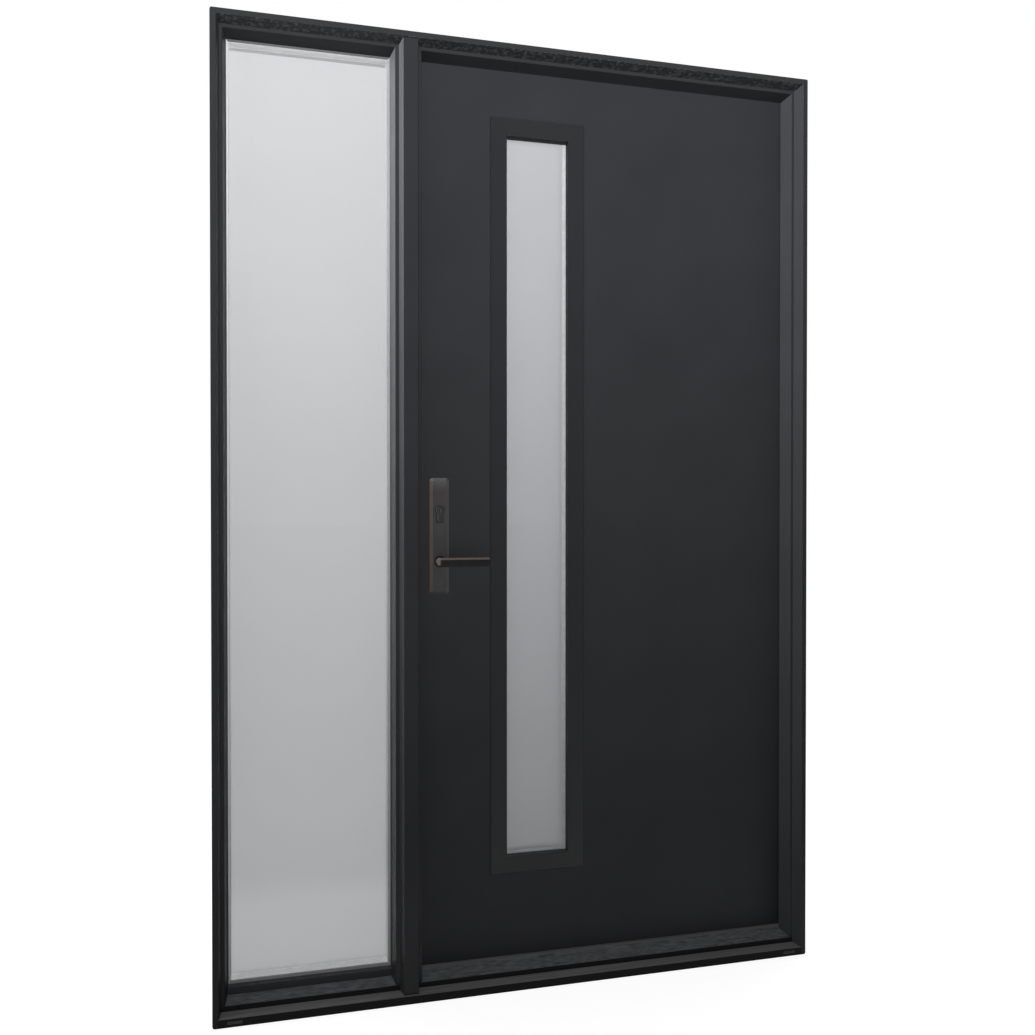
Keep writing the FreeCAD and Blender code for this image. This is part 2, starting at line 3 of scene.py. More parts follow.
import bmesh
import bpy
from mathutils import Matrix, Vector


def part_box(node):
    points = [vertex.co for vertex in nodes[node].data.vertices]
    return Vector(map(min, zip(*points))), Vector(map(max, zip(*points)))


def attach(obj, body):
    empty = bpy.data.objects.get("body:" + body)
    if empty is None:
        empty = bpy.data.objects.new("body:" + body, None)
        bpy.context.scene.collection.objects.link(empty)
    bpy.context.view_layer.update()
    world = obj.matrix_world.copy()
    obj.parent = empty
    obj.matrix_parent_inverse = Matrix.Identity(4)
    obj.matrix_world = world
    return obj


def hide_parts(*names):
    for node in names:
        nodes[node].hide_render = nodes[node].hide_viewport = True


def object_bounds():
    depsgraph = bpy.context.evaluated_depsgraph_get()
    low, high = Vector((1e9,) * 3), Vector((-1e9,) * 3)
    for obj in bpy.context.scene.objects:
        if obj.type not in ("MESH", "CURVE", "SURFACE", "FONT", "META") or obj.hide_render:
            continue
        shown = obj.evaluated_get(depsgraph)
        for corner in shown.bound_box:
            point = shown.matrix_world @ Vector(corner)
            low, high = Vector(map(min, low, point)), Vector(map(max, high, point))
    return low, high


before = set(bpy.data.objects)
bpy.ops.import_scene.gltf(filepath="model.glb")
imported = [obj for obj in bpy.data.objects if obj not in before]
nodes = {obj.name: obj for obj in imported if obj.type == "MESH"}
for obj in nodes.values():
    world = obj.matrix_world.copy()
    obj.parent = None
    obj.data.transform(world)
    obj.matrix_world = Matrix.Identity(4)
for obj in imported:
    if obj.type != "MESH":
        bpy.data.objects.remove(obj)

# Entrance door unit with one sidelight: finishes, small fittings, studio and camera.
# Metres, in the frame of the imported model: X right, Y outside to inside, Z up.

cad_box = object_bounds()

MM = 0.001

# Picture and camera, from the fit to the frame's edges
IMAGE_SIDE = 1035
FOCAL_PIXELS = 1010
SENSOR_WIDTH = 36.0
CAMERA_PLACE = (-0.6121, -2.2226, 1.0735)
CAMERA_TILT = -0.0096
CAMERA_TURN = -0.2616

# Lamps, with the spread of their beams in degrees
FRONT_LAMP = {"place": (-0.6, -1.76, 2.16), "aim": (-0.6, 0.0, 3.03), "size": (3.8, 0.53), "power": 78.0}
SIDE_LAMP = {"place": (-1.63, 0.045, 2.1), "aim": (-0.3, 0.045, 2.1), "size": (0.02, 0.4), "power": 71.0}
FULL_SPREAD = 180.0
SIDE_SPREAD = 130.0
SIDE_LIT = ("right_jamb", "mullion", "outer_handle_plate", "lock_cylinder", "outer_lever")

# Surrounding light: its strengths, and the directions between which it changes
BACK_WHITE = 1.0
BACK_FADE = (-0.05, 0.12)
FRONT_LOW = 0.03
FRONT_HIGH = 0.25
FRONT_FADE = (0.2, 0.9)
LEFT_GLOW = 0.3
LEFT_FADE = (-0.85, -0.45)

# Floor: its tones and glow, and the depths or distances between which they change
FLOOR_REACH = 60.0
FLOOR_ROUGHNESS = 0.9
FLOOR_ALBEDO = 0.45
FLOOR_FRONT_ALBEDO = 0.2
FLOOR_FRONT_FADE = (-2.4, -1.4)
FLOOR_LIFT = 0.85
FLOOR_LIFT_FADE = (-0.8, -0.55)
FLOOR_THROUGH = 0.4
FLOOR_BOUNCE = 1.15
FLOOR_BOUNCE_FADE = (-1.6, -0.4)
FLOOR_WHITE_FADE = (1.2, 3.5)

# Heights of the grain of surfaces, and radii of softened edges
ORANGE_PEEL = 0.00004
FINE_GRAIN = 0.00003
RUBBER_GRAIN = 0.00006
ROLLED_GRAIN = 0.00008
FOAM_GRAIN = 0.0004
PAINT_EDGE = 0.7 * MM
SILL_EDGE = 0.5 * MM
METAL_EDGE = 0.4 * MM
BRONZE_EDGE = 0.6 * MM

# Features of the frame's paint grain in a metre
FRAME_GRAIN = 900.0

# Range that most of a noise lies in, and its roughness
NOISE_LOW = 0.3
NOISE_HIGH = 0.7
NOISE_ROUGHNESS = 0.55

# How far a face has to look along an axis to begin to take a side's tone, and to have all of it
SIDE_FROM = 0.3
SIDE_AT = 0.66

EVENLY = (1.0, 1.0, 1.0)
WHITE = (1.0, 1.0, 1.0, 1.0)
CORNERS = ((-1, -1), (1, -1), (1, 1), (-1, 1))


# Node helpers

def new_material(name, colour, roughness):
    """A material with one Principled shader, and its node tree and shader."""
    material = bpy.data.materials.new(name)
    material.use_nodes = True
    tree = material.node_tree
    shader = tree.nodes["Principled BSDF"]
    shader.inputs["Base Color"].default_value = (*colour, 1.0)
    shader.inputs["Roughness"].default_value = roughness
    return material, tree, shader


def place_vector(tree, stretch=EVENLY):
    """Object coordinates in metres, scaled on each axis."""
    coords = tree.nodes.new("ShaderNodeTexCoord")
    mapping = tree.nodes.new("ShaderNodeMapping")
    mapping.inputs["Scale"].default_value = stretch
    tree.links.new(coords.outputs["Object"], mapping.inputs["Vector"])
    return mapping.outputs["Vector"]


def place_axis(tree, axis):
    """One of the object coordinates, in metres."""
    split = tree.nodes.new("ShaderNodeSeparateXYZ")
    tree.links.new(place_vector(tree), split.inputs["Vector"])
    return split.outputs[axis]


def facing(tree, axis):
    """How far the surface faces along an axis of the piece, from -1 to 1."""
    coords = tree.nodes.new("ShaderNodeTexCoord")
    split = tree.nodes.new("ShaderNodeSeparateXYZ")
    tree.links.new(coords.outputs["Normal"], split.inputs["Vector"])
    return split.outputs[axis]


def noise(tree, per_metre, detail, stretch=EVENLY):
    """Value of a noise with so many features per metre."""
    texture = tree.nodes.new("ShaderNodeTexNoise")
    texture.inputs["Scale"].default_value = per_metre
    texture.inputs["Detail"].default_value = detail
    texture.inputs["Roughness"].default_value = NOISE_ROUGHNESS
    tree.links.new(place_vector(tree, stretch), texture.inputs["Vector"])
    return texture.outputs["Fac"]


def spread(tree, value, low, high, start=NOISE_LOW, end=NOISE_HIGH):
    """Map a value between start and end onto low and high."""
    node = tree.nodes.new("ShaderNodeMapRange")
    node.inputs["From Min"].default_value = start
    node.inputs["From Max"].default_value = end
    node.inputs["To Min"].default_value = low
    node.inputs["To Max"].default_value = high
    tree.links.new(value, node.inputs["Value"])
    return node.outputs["Result"]


def combine(tree, operation, first, second):
    """Two values put together by a Math operation."""
    node = tree.nodes.new("ShaderNodeMath")
    node.operation = operation
    tree.links.new(first, node.inputs[0])
    tree.links.new(second, node.inputs[1])
    return node.outputs["Value"]


def blend_colours(tree, factor, first, second):
    """Colour between two, each a triple or a socket."""
    node = tree.nodes.new("ShaderNodeMix")
    node.data_type = "RGBA"
    tree.links.new(factor, node.inputs["Factor"])
    for socket, colour in ((node.inputs["A"], first), (node.inputs["B"], second)):
        if isinstance(colour, tuple):
            socket.default_value = (*colour, 1.0)
        else:
            tree.links.new(colour, socket)
    return node.outputs["Result"]


def bump(tree, height, distance, normal=None):
    """Normal of a surface raised by a height map."""
    node = tree.nodes.new("ShaderNodeBump")
    node.inputs["Distance"].default_value = distance
    node.inputs["Strength"].default_value = 1.0
    tree.links.new(height, node.inputs["Height"])
    if normal is not None:
        tree.links.new(normal, node.inputs["Normal"])
    return node.outputs["Normal"]


def soft_edges(tree, radius):
    """Normal that rounds the edges of the piece by a small radius."""
    node = tree.nodes.new("ShaderNodeBevel")
    node.samples = 4
    node.inputs["Radius"].default_value = radius
    return node.outputs["Normal"]


def shade(colour, factor):
    """A colour made lighter or darker."""
    return tuple(part * factor for part in colour)


def clouded(tree, colour, per_metre, detail, darkest, lightest):
    """Colour that varies in soft clouds between two shades of itself."""
    clouds = spread(tree, noise(tree, per_metre, detail), 0.0, 1.0)
    return blend_colours(tree, clouds, shade(colour, darkest), shade(colour, lightest))


def slight_wear(tree):
    """Patches that take a little off a tone."""
    return spread(tree, noise(tree, 60.0, detail=4.0), 0.9, 1.0)


def tone_sides(tree, tone, sides, patches):
    """Tone that gives way to others on faces that look along the given axes."""
    for axis, sign, colour in sides:
        side = spread(tree, facing(tree, axis), 0.0, 1.0, SIDE_FROM * sign, SIDE_AT * sign)
        tone = blend_colours(tree, combine(tree, "MULTIPLY", side, patches), tone, colour)
    return tone


# Finishes

def pale_underside_specks(tree, tone, colour, nose):
    """Tone with pale specks on undersides in front of a depth."""
    front = spread(tree, place_axis(tree, "Y"), 1.0, 0.0, nose - 1.0 * MM, nose)
    under = spread(tree, facing(tree, "Z"), 0.0, 1.0, -0.3, -0.6)
    specks = spread(tree, noise(tree, 130.0, detail=3.0), 0.0, 1.0, 0.48, 0.66)
    share = combine(tree, "MULTIPLY", combine(tree, "MULTIPLY", front, under), specks)
    return blend_colours(tree, share, tone, shade(colour, 2.6))


def satin_paint(name, colour, roughness, specular, grain=FRAME_GRAIN, height=ORANGE_PEEL, nose=None):
    """Sprayed paint: slight clouding, orange peel, uneven sheen, and lighter upward faces, partly dusty and
    partly painted light from above.

    Where a nose is given, undersides in front of that depth have pale specks.
    """
    material, tree, shader = new_material(name, colour, roughness)
    tone = clouded(tree, colour, 5.0, 4.0, 0.94, 1.06)
    # Upward faces lighter: partly dusty, partly painted light falling from above.
    ledge = spread(tree, facing(tree, "Z"), 0.0, 0.8, 0.5, 0.95)
    dust_and_painted_top_light = combine(tree, "MULTIPLY", ledge, spread(tree, noise(tree, 55.0, detail=6.0), 0.4, 1.0))
    tone = blend_colours(tree, dust_and_painted_top_light, tone, shade(colour, 3.0))
    # Pale specks on undersides in front of the nose.
    if nose is not None:
        tone = pale_underside_specks(tree, tone, colour, nose)
    tree.links.new(tone, shader.inputs["Base Color"])
    sheen = spread(tree, noise(tree, 14.0, detail=5.0), roughness - 0.035, roughness + 0.035)
    tree.links.new(sheen, shader.inputs["Roughness"])
    shader.inputs["Specular IOR Level"].default_value = specular
    peel = bump(tree, noise(tree, grain, detail=2.0), height, soft_edges(tree, PAINT_EDGE))
    tree.links.new(peel, shader.inputs["Normal"])
    return material


def sill_aluminium(name, black, wear_and_top_light, patchy=(0.62, 1.06), grain=60.0, along=(0.12, 6.0, 6.0)):
    """Black anodised sill: black upright faces, and upward faces grey in patches, partly wear where feet and
    dirt touch them and partly painted light from above.
    """
    material, tree, shader = new_material(name, black, 0.45)
    # Upward faces grey: partly wear, partly painted light from above.
    upward = spread(tree, facing(tree, "Z"), 0.0, 1.0, 0.25, 0.8)
    scuffs = spread(tree, noise(tree, grain, 6.0, along), *patchy)
    tone = blend_colours(tree, combine(tree, "MULTIPLY", upward, scuffs), black, wear_and_top_light)
    tree.links.new(tone, shader.inputs["Base Color"])
    shader.inputs["Specular IOR Level"].default_value = 0.08
    sheen = spread(tree, noise(tree, 40.0, 5.0, along), 0.42, 0.6)
    tree.links.new(sheen, shader.inputs["Roughness"])
    lines = noise(tree, 220.0, 2.0, (0.05, 4.0, 4.0))
    rolled = bump(tree, lines, ROLLED_GRAIN, soft_edges(tree, SILL_EDGE))
    tree.links.new(rolled, shader.inputs["Normal"])
    return material


def rubber(name, colour, roughness, sides=()):
    """Extruded rubber or plastic with fine lines and a chalky bloom, and lighter tones painted on the given
    sides where light falls on them.
    """
    material, tree, shader = new_material(name, colour, roughness)
    tone = clouded(tree, colour, 90.0, 5.0, 0.9, 1.12)
    if sides:
        tone = tone_sides(tree, tone, sides, slight_wear(tree))
    tree.links.new(tone, shader.inputs["Base Color"])
    shader.inputs["Specular IOR Level"].default_value = 0.25
    lines = bump(tree, noise(tree, 700.0, detail=2.0), RUBBER_GRAIN)
    tree.links.new(lines, shader.inputs["Normal"])
    return material


def brushed_metal(name, colour, roughness, metal):
    """Plated metal with fine brushing and uneven sheen."""
    material, tree, shader = new_material(name, colour, roughness)
    tree.links.new(clouded(tree, colour, 30.0, 4.0, 0.92, 1.08), shader.inputs["Base Color"])
    shader.inputs["Metallic"].default_value = metal
    brushing = noise(tree, 500.0, 2.0, (1.0, 1.0, 0.06))
    sheen = spread(tree, brushing, roughness - 0.05, roughness + 0.05)
    tree.links.new(sheen, shader.inputs["Roughness"])
    brushed = bump(tree, brushing, FINE_GRAIN, soft_edges(tree, METAL_EDGE))
    tree.links.new(brushed, shader.inputs["Normal"])
    return material


def bronze_rubbed_and_highlit(name, dark, rubbed_and_highlit_sides, top=None):
    """Dark bronze, with other tones on faces that look along the given axes: copper showing through from wear
    on some faces, painted highlights and glints on others.

    Where a top is given, its tone, a painted highlight, comes through between its two heights and above them.
    """
    material, tree, shader = new_material(name, dark, 0.42)
    patches = spread(tree, noise(tree, 120.0, detail=5.0), 0.65, 1.0)
    tone = clouded(tree, dark, 45.0, 4.0, 0.9, 1.1)
    # Lighter top where one is given: painted highlight.
    if top:
        start, end, colour = top
        wear_and_top_light = spread(tree, place_axis(tree, "Z"), 0.0, 1.0, start, end)
        tone = blend_colours(tree, combine(tree, "MULTIPLY", wear_and_top_light, patches), tone, colour)
    # Tones on the given sides: copper wear on some, painted highlights and glints on others.
    tree.links.new(tone_sides(tree, tone, rubbed_and_highlit_sides, patches), shader.inputs["Base Color"])
    shader.inputs["Metallic"].default_value = 0.3
    shader.inputs["Specular IOR Level"].default_value = 0.25
    sheen = spread(tree, noise(tree, 80.0, detail=5.0), 0.36, 0.48)
    tree.links.new(sheen, shader.inputs["Roughness"])
    cast = bump(tree, noise(tree, 650.0, detail=3.0), FINE_GRAIN, soft_edges(tree, BRONZE_EDGE))
    tree.links.new(cast, shader.inputs["Normal"])
    return material


def lets_lamps_through(material, tree, shader):
    """Shadow rays and scattered light pass the glass, so that lamps light what is behind it."""
    path = tree.nodes.new("ShaderNodeLightPath")
    clear = tree.nodes.new("ShaderNodeBsdfTransparent")
    clear.inputs["Color"].default_value = (0.95, 0.953, 0.956, 1.0)
    surface = shader.outputs["BSDF"]
    for name in ("Is Shadow Ray", "Is Diffuse Ray"):
        switch = tree.nodes.new("ShaderNodeMixShader")
        tree.links.new(path.outputs[name], switch.inputs[0])
        tree.links.new(surface, switch.inputs[1])
        tree.links.new(clear.outputs["BSDF"], switch.inputs[2])
        surface = switch.outputs["Shader"]
    tree.links.new(surface, tree.nodes["Material Output"].inputs["Surface"])
    return material


def clear_glass():
    """Clear float glass with a very slightly uneven sheen."""
    material, tree, shader = new_material("clear_glass_wavy", (0.975, 0.98, 0.985), 0.0)
    shader.inputs["Transmission Weight"].default_value = 1.0
    shader.inputs["IOR"].default_value = 1.5
    sheen = spread(tree, noise(tree, 9.0, detail=3.0), 0.0, 0.03)
    tree.links.new(sheen, shader.inputs["Roughness"])
    return lets_lamps_through(material, tree, shader)


def etched_glass(name, colour, passing):
    """Satin-etched privacy glass: it lets light through but nothing is seen behind it."""
    material, tree, shader = new_material(name, colour, 0.6)
    tree.links.new(clouded(tree, colour, 2.2, 4.0, 0.985, 1.015), shader.inputs["Base Color"])
    shader.inputs["Transmission Weight"].default_value = passing
    shader.inputs["IOR"].default_value = 1.45
    sheen = spread(tree, noise(tree, 400.0, detail=2.0), 0.55, 0.65)
    tree.links.new(sheen, shader.inputs["Roughness"])
    etching = bump(tree, noise(tree, 1500.0, detail=2.0), FINE_GRAIN)
    tree.links.new(etching, shader.inputs["Normal"])
    return material


def spacer_bar(name, colour, sides):
    """Spacer bar between two panes: pale on the sides that show, dull where it is bonded to the glass."""
    material, tree, shader = new_material(name, colour, 0.5)
    tone = clouded(tree, colour, 150.0, 4.0, 0.95, 1.0)
    tree.links.new(tone_sides(tree, tone, sides, slight_wear(tree)), shader.inputs["Base Color"])
    shader.inputs["Metallic"].default_value = 0.1
    grain = bump(tree, noise(tree, 500.0, detail=2.0), FINE_GRAIN)
    tree.links.new(grain, shader.inputs["Normal"])
    return material


def foam(name, colour):
    """Cut insulating foam."""
    material, tree, shader = new_material(name, colour, 0.9)
    cells = noise(tree, 900.0, detail=3.0)
    tree.links.new(blend_colours(tree, cells, shade(colour, 0.8), colour), shader.inputs["Base Color"])
    tree.links.new(bump(tree, cells, FOAM_GRAIN), shader.inputs["Normal"])
    return material


FRAME_COLOUR = (0.0232, 0.0237, 0.0255)
DOOR_COLOUR = (0.0252, 0.0260, 0.0284)
LITE_COLOUR = (0.0185, 0.0191, 0.0206)
FOAM_COLOUR = (0.72, 0.66, 0.48)
SPACER_COLOUR = (0.42, 0.42, 0.425)

# Depth of the back of the header's front step
HEADER_NOSE = -31.0 * MM

# Tones of the sides of pieces: axis, way along it, colour
SPACER_SIDES = (("X", -1, (0.82, 0.82, 0.825)), ("X", 1, (0.82, 0.82, 0.825)),
                ("Z", -1, (0.95, 0.95, 0.955)), ("Z", 1, (0.95, 0.95, 0.955)))
# The gasket's sides: lighter tones painted where light falls on them.
GASKET_LIT_SIDES = (("X", 1, (0.6, 0.6, 0.605)), ("X", -1, (0.36, 0.36, 0.365)),
                ("Z", 1, (0.23, 0.23, 0.235)))
# The plate's sides: copper wear on the left bevel, a painted highlight on the right bevel, grey on the top
# bevel.
PLATE_COPPER_AND_HIGHLIGHT_SIDES = (("X", -1, (0.047, 0.036, 0.031)), ("X", 1, (0.115, 0.1, 0.092)),
               ("Z", 1, (0.056, 0.056, 0.058)))
# The lever's sides: a painted glint on the left-facing elbow and a painted copper highlight on top.
LEVER_HIGHLIGHT_SIDES = (("X", -1, (0.085, 0.078, 0.074)), ("Z", 1, (0.087, 0.067, 0.057)))
# The cylinder's sides: painted highlights on its left and top.
CYLINDER_HIGHLIGHT_SIDES = (("X", -1, (0.085, 0.08, 0.077)), ("Z", 1, (0.09, 0.088, 0.087)))
# The ring's left-facing side: a painted highlight.
RING_HIGHLIGHT_SIDES = (("X", -1, (0.045, 0.04, 0.037)),)

# Painted highlight on the top of the handle plates: the heights between which it begins, and its colour
PLATE_TOP_HIGHLIGHT = (1.112, 1.142, (0.125, 0.125, 0.128))

finishes = {
    "frame_paint": satin_paint("frame_paint_satin", FRAME_COLOUR, 0.32, 0.12),
    "door_paint": satin_paint("door_paint_satin", DOOR_COLOUR, 0.42, 0.12, 700.0),
    "door_edge": satin_paint("door_edge_satin", DOOR_COLOUR, 0.5, 0.2, 800.0),
    "lite_frame_paint": satin_paint("lite_frame_moulded", LITE_COLOUR, 0.5, 0.36, 1400.0, 2.0 * ORANGE_PEEL),
    "sill_black": sill_aluminium("sill_black_worn_and_top_lit", (0.0095, 0.0095, 0.0098), (0.205, 0.205, 0.209)),
    "weep_grey": rubber("weep_grey_plastic", (0.075, 0.075, 0.077), 0.5),
    "seal_rubber": rubber("seal_rubber_black", (0.014, 0.014, 0.015), 0.7),
    "gasket_grey": rubber("gasket_rubber_grey_painted_light", (0.105, 0.105, 0.108), 0.6, GASKET_LIT_SIDES),
    "clear_glass": clear_glass(),
    "satin_glass": etched_glass("satin_glass_etched", (0.575, 0.579, 0.587), 0.67),
    "spacer_silver": spacer_bar("spacer_silver_bonded", SPACER_COLOUR, SPACER_SIDES),
    "door_foam": foam("door_foam_cut", FOAM_COLOUR),
    "dark_bronze": bronze_rubbed_and_highlit("dark_bronze_copper_and_highlights", (0.059, 0.059, 0.062), PLATE_COPPER_AND_HIGHLIGHT_SIDES, PLATE_TOP_HIGHLIGHT),
    "lock_steel": brushed_metal("lock_steel_brushed", (0.085, 0.083, 0.08), 0.38, 0.6),
}
for node in nodes.values():
    for place in node.material_slots:
        base = place.material.name.split(".")[0]
        place.material = finishes[base]

# Nodes that differ from the others of their slot
# The levers: a darker copy of the bronze for painted shade on their faces, with painted highlights on their
# sides.
lever_bronze_painted_light = bronze_rubbed_and_highlit("lever_bronze_shade_and_highlights", (0.0175, 0.0175, 0.0178), LEVER_HIGHLIGHT_SIDES)
own_finishes = {
    "outer_lever": lever_bronze_painted_light,
    "inner_lever": lever_bronze_painted_light,
    # The cylinder's bronze carries painted highlights on its left and top.
    "lock_cylinder": bronze_rubbed_and_highlit("cylinder_bronze_highlights", (0.046, 0.046, 0.048), CYLINDER_HIGHLIGHT_SIDES),
    # The tread's copy of the sill finish: a lighter black and a darker top grey, painted light and shade.
    "sill_tread": sill_aluminium("tread_black_painted_light_and_shade", (0.019, 0.019, 0.0194), (0.162, 0.167, 0.18),
                                 (0.45, 1.2), 100.0, (0.4, 1.2, 1.2)),
    # Lighter and darker copies of the frame paint for the header, jambs and rail: painted light and shade.
    "header": satin_paint("header_paint_painted_lighter", shade(FRAME_COLOUR, 1.05), 0.45, 0.03, nose=HEADER_NOSE),
    "left_jamb": satin_paint("left_jamb_paint_painted_lighter", shade(FRAME_COLOUR, 1.07), 0.4, 0.055),
    "right_jamb": satin_paint("right_jamb_paint_painted_darker", shade(FRAME_COLOUR, 0.9), 0.32, 0.12),
    "sidelight_rail": satin_paint("rail_paint_painted_lighter", shade(FRAME_COLOUR, 1.75), 0.4, 0.1),
    # A darker copy of the etched glass for the lite: painted shade.
    "lite_inner_pane": etched_glass("lite_glass_etched_painted_shade", (0.425, 0.429, 0.441), 0.42),
}
for name, finish in own_finishes.items():
    nodes[name].material_slots[0].material = finish


# Helpers for the small fittings, which the solids leave out

TURNS = 24

# Screw head, its profile as shares of radius and height, and its cross recess
SCREW = 4.0 * MM
SCREW_HEIGHT = 1.1 * MM
SCREW_PROFILE = ((1.0, 0.0), (0.93, 0.55), (0.68, 1.0))
RECESS_ARM = 0.52
RECESS_HALF = 0.11
RECESS_FLOOR = 0.25
RECESS_WAYS = ((1, 0), (0, 1), (-1, 0), (0, -1))

# Lip round the end of a bolt, and the end's section as shares of lip and height
BOLT_LIP = 0.9 * MM
BOLT_SECTION = ((0.0, 0.0), (0.0, 0.4), (1.0, 0.4), (1.0, 0.1), (1.5, 0.1), (2.0, 1.0))

LOUVRE_RIM = 0.9 * MM
LOUVRE_SLATS = 3
SLAT_SETBACK = 0.1 * MM


def add_piece(name, build, finish, body):
    """A mesh piece that moves with a body of the frame."""
    shape = bmesh.new()
    build(shape)
    bmesh.ops.recalc_face_normals(shape, faces=shape.faces)
    mesh = bpy.data.meshes.new(name)
    shape.to_mesh(mesh)
    shape.free()
    mesh.materials.append(finish)
    piece = bpy.data.objects.new(name, mesh)
    bpy.context.scene.collection.objects.link(piece)
    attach(piece, body)
    return piece


def inner_edges(node):
    """Opening of a ring-shaped node: left, right, low and high edge."""
    low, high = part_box(node)
    middle = (low + high) / 2
    points = [vertex.co for vertex in nodes[node].data.vertices]
    left = max(point.x for point in points if point.x < middle.x)
    right = min(point.x for point in points if point.x > middle.x)
    bottom = max(point.z for point in points if point.z < middle.z)
    top = min(point.z for point in points if point.z > middle.z)
    return left, right, bottom, top


def in_metres(section):
    """Points of a section that is given in millimetres."""
    return [(first * MM, second * MM) for first, second in section]


def from_depth(section, depth):
    """Section of a strip whose heights are given in millimetres from a depth."""
    return [(share, depth + rise * MM) for share, rise in section]


def join_loops(shape, loops, around=False):
    """Faces from each loop to the next, and from the last to the first where they go around."""
    pairs = list(zip(loops, loops[1:]))
    if around:
        pairs.append((loops[-1], loops[0]))
    for low, high in pairs:
        count = len(low)
        for i in range(count):
            j = (i + 1) % count
            shape.faces.new((low[i], low[j], high[j], high[i]))


def add_ring(shape, opening, widths, section):
    """Strip round the inside of an opening.

    Each point of the section is a share of the width on each edge, and a depth.
    """
    left, right, bottom, top = opening
    loops = []
    for share, depth in section:
        x0, x1 = left + share * widths[0], right - share * widths[1]
        z0, z1 = bottom + share * widths[2], top - share * widths[3]
        corners = ((x0, z0), (x1, z0), (x1, z1), (x0, z1))
        loops.append([shape.verts.new((x, depth, z)) for x, z in corners])
    join_loops(shape, loops, around=True)


def add_rectangle(shape, centre, half_y, half_z):
    """Loop of an upright rectangle that faces along X."""
    side = Vector((0.0, half_y, 0.0))
    up = Vector((0.0, 0.0, half_z))
    return [shape.verts.new(centre + side * y + up * z) for y, z in CORNERS]


def across(outward):
    """Two directions at right angles to an outward one."""
    outward = Vector(outward)
    first = outward.orthogonal().normalized()
    return first, outward.cross(first)


def add_turned(shape, centre, outward, profile, closed=True):
    """Turned shape from radius and height pairs, closed at its end by a flat face.

    Gives the last loop back.
    """
    first, second = across(outward)
    loops = []
    for radius, height in profile:
        loop = []
        for i in range(TURNS):
            angle = math.tau * i / TURNS
            arm = first * math.cos(angle) + second * math.sin(angle)
            loop.append(shape.verts.new(Vector(centre) + arm * radius + Vector(outward) * height))
        loops.append(loop)
    join_loops(shape, loops)
    if closed:
        shape.faces.new(loops[-1])
    return loops[-1]


def add_screw(shape, centre, outward, radius, height):
    """Raised screw head with a cross recess."""
    profile = [(share * radius, rise * height) for share, rise in SCREW_PROFILE]
    rim = add_turned(shape, centre, outward, profile, closed=False)
    first, second = across(outward)
    arm, half = RECESS_ARM * radius, RECESS_HALF * radius
    outline = []
    for u, v in RECESS_WAYS:
        outline.append((arm * u + half * v, arm * v - half * u))
        outline.append((arm * u - half * v, arm * v + half * u))
        outline.append((half * (u - v), half * (u + v)))
    upper, lower = [], []
    for level, ring in ((height, upper), (RECESS_FLOOR * height, lower)):
        for u, v in outline:
            ring.append(shape.verts.new(Vector(centre) + first * u + second * v + Vector(outward) * level))
    count = len(outline)
    edges = [shape.edges.get((rim[i], rim[(i + 1) % TURNS])) for i in range(TURNS)]
    edges += [shape.edges.new((upper[i], upper[(i + 1) % count])) for i in range(count)]
    bmesh.ops.triangle_fill(shape, edges=edges, use_beauty=True, normal=Vector(outward))
    join_loops(shape, (upper, lower))
    shape.faces.new(lower)


def add_screw_pair(shape, low, high, x, y, inset, outward):
    """Screws near the low and the high end of a plate."""
    for z in (low.z + inset, high.z - inset):
        add_screw(shape, (x, y, z), outward, SCREW, SCREW_HEIGHT)


def add_bolt_face(shape, centre, outward, size, height):
    """Bevelled end of a bolt with a shallow groove round it."""
    loops = []
    for share, rise in BOLT_SECTION:
        inset = share * BOLT_LIP
        middle = Vector(centre) + Vector(outward) * (rise * height)
        loops.append(add_rectangle(shape, middle, size[0] / 2 - inset, size[1] / 2 - inset))
    join_loops(shape, loops)
    shape.faces.new(loops[-1])


def add_louvre(shape, low, high):
    """Small cover with a rim and sloping slats, inside a box."""
    rim = LOUVRE_RIM
    opening = (low.x, high.x, low.z, high.z)
    add_ring(shape, opening, (rim,) * 4, ((0.0, low.y), (1.0, low.y), (1.0, high.y), (0.0, high.y)))
    pitch = (high.z - low.z - 2 * rim) / LOUVRE_SLATS
    x0, x1 = low.x + 0.5 * rim, high.x - 0.5 * rim
    front = low.y + SLAT_SETBACK
    for i in range(LOUVRE_SLATS):
        z = low.z + rim + i * pitch
        corners = ((front, z + 0.1 * pitch), (front, z + 0.35 * pitch),
                   (high.y, z + pitch), (high.y, z + 0.7 * pitch))
        ends = [[shape.verts.new((x, y, level)) for y, level in corners] for x in (x0, x1)]
        join_loops(shape, ends)
        for end in ends:
            shape.faces.new(end)


# Screws, collars, rings and bolts of the handle and lock

PLATE_SCREW_INSET = 22 * MM
LOCK_SCREW_INSET = 12 * MM

# Lock cylinder: its round part and the lobe below
CYLINDER_RADIUS = 8.5 * MM
LOBE_HALF = 5.0 * MM
LOBE_DROP = 24.5 * MM
LOBE_STEPS = 18

# Ends of the bolts: width and height of the face, and how far it stands out
LATCH_SIZE = (14 * MM, 26 * MM)
LATCH_RISE = 1.5 * MM
DEADBOLT_SIZE = (14 * MM, 34 * MM)
DEADBOLT_RISE = 1.2 * MM

# Pockets of the strike plate
POCKET_HALF_WIDTH = 8.5 * MM
LATCH_POCKET_HEIGHT = 32 * MM
DEADBOLT_POCKET_HEIGHT = 40 * MM

plate_low, plate_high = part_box("inner_handle_plate")
plate_x = (plate_low.x + plate_high.x) / 2
front_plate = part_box("outer_handle_plate")[0].y
lever_z = sum(corner.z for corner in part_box("lever_spindle")) / 2
cylinder_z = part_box("lock_cylinder")[1].z - CYLINDER_RADIUS
lock_low, lock_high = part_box("lock_face_plate")
lock_y = (lock_low.y + lock_high.y) / 2
strike_low, strike_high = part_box("strike_plate")


